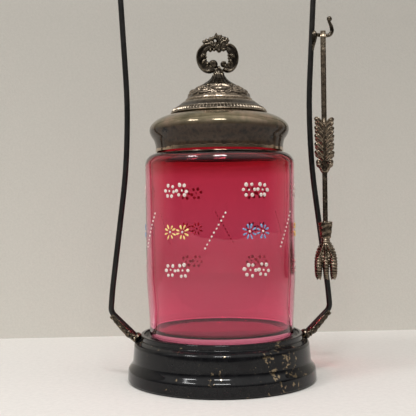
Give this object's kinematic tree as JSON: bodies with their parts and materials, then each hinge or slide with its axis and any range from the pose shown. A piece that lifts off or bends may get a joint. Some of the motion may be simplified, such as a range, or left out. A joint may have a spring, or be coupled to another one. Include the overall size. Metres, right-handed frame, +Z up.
{
  "type": "pickle castor",
  "caption": "Cranberry glass jar with a lift-off silver-plated lid, standing in a plated frame with a tall wire handle and tongs on a hook.",
  "frame": {"origin": "on the table plane, under the upright axis of the jar, lid and foot", "axes": "+Z up; the wire handle lies in the XZ plane; +X towards the hook and tongs; -Y is the front"},
  "size_m": [0.1382, 0.11, 0.2869],
  "materials": {
    "dark_silver": "silver plate over brass, heavily tarnished to near black, worn to pale gold in patches",
    "pale_silver": "dull grey silver plate",
    "black_silver": "silver plate tarnished black, satin",
    "worn_silver": "cast silver plate, dark in the hollows and rubbed pale on the high points",
    "cranberry_glass": "clear cranberry glass, polished",
    "white_enamel": "raised white enamel, slightly pink where thin",
    "yellow_enamel": "raised yellow enamel",
    "blue_enamel": "raised blue enamel",
    "brass_thread": "plain brass"
  },
  "bodies": {
    "stand": {"base_shell": "dark_silver", "seat_dish": "pale_silver", "handle_wire": "black_silver", "handle_leaf_left": "worn_silver", "handle_leaf_right": "worn_silver", "hook_plate": "worn_silver", "hook_arm": "worn_silver"},
    "jar": {"glass_jar": "cranberry_glass", "enamel_white_flowers": "white_enamel", "enamel_yellow_flowers": "yellow_enamel", "enamel_blue_flowers": "blue_enamel", "enamel_flower_centres": "white_enamel", "enamel_dotted_lines": "white_enamel"},
    "lid": {"lid_shell": "dark_silver", "lid_inner_collar": "pale_silver", "lid_bead_band": "worn_silver", "lid_dome": "worn_silver", "finial_collar": "worn_silver", "finial_ring": "worn_silver", "finial_stud": "brass_thread", "finial_washer": "brass_thread", "finial_nut": "brass_thread"},
    "tongs": {"tongs_bow": "worn_silver"},
    "tongs_front": {"tongs_front_arm": "worn_silver", "tongs_front_leaf": "worn_silver", "tongs_front_cuff": "worn_silver", "tongs_front_claw": "worn_silver"},
    "tongs_rear": {"tongs_rear_arm": "worn_silver", "tongs_rear_leaf": "worn_silver", "tongs_rear_cuff": "worn_silver", "tongs_rear_claw": "worn_silver"}
  },
  "joints": [
    {"name": "jar_lift", "type": "slide", "parent": "stand", "child": "jar", "axis": [0, 0, 1], "range_m": [0, 0.025]},
    {"name": "lid_lift", "type": "slide", "parent": "jar", "child": "lid", "axis": [0, 0, 1], "range_m": [0, 0.045]},
    {"name": "tongs_lift", "type": "slide", "parent": "stand", "child": "tongs", "axis": [0, 0, 1], "range_m": [0, 0.02]},
    {"name": "tongs_squeeze", "type": "hinge", "parent": "tongs", "child": "tongs_front", "pos_m": [0.06138, -0.00479, 0.193], "axis": [0.9781, -0.2079, 0], "range_deg": [0, 4], "stiffness_Nm_per_rad": 3},
    {"name": "tongs_squeeze_rear", "type": "hinge", "parent": "tongs", "child": "tongs_rear", "pos_m": [0.06342, 0.00479, 0.193], "axis": [-0.9781, 0.2079, 0], "range_deg": [0, 4], "stiffness_Nm_per_rad": 3}
  ],
  "couplings": [
    {"joint": "tongs_squeeze_rear", "follows": "tongs_squeeze", "ratio": 1}
  ]
}
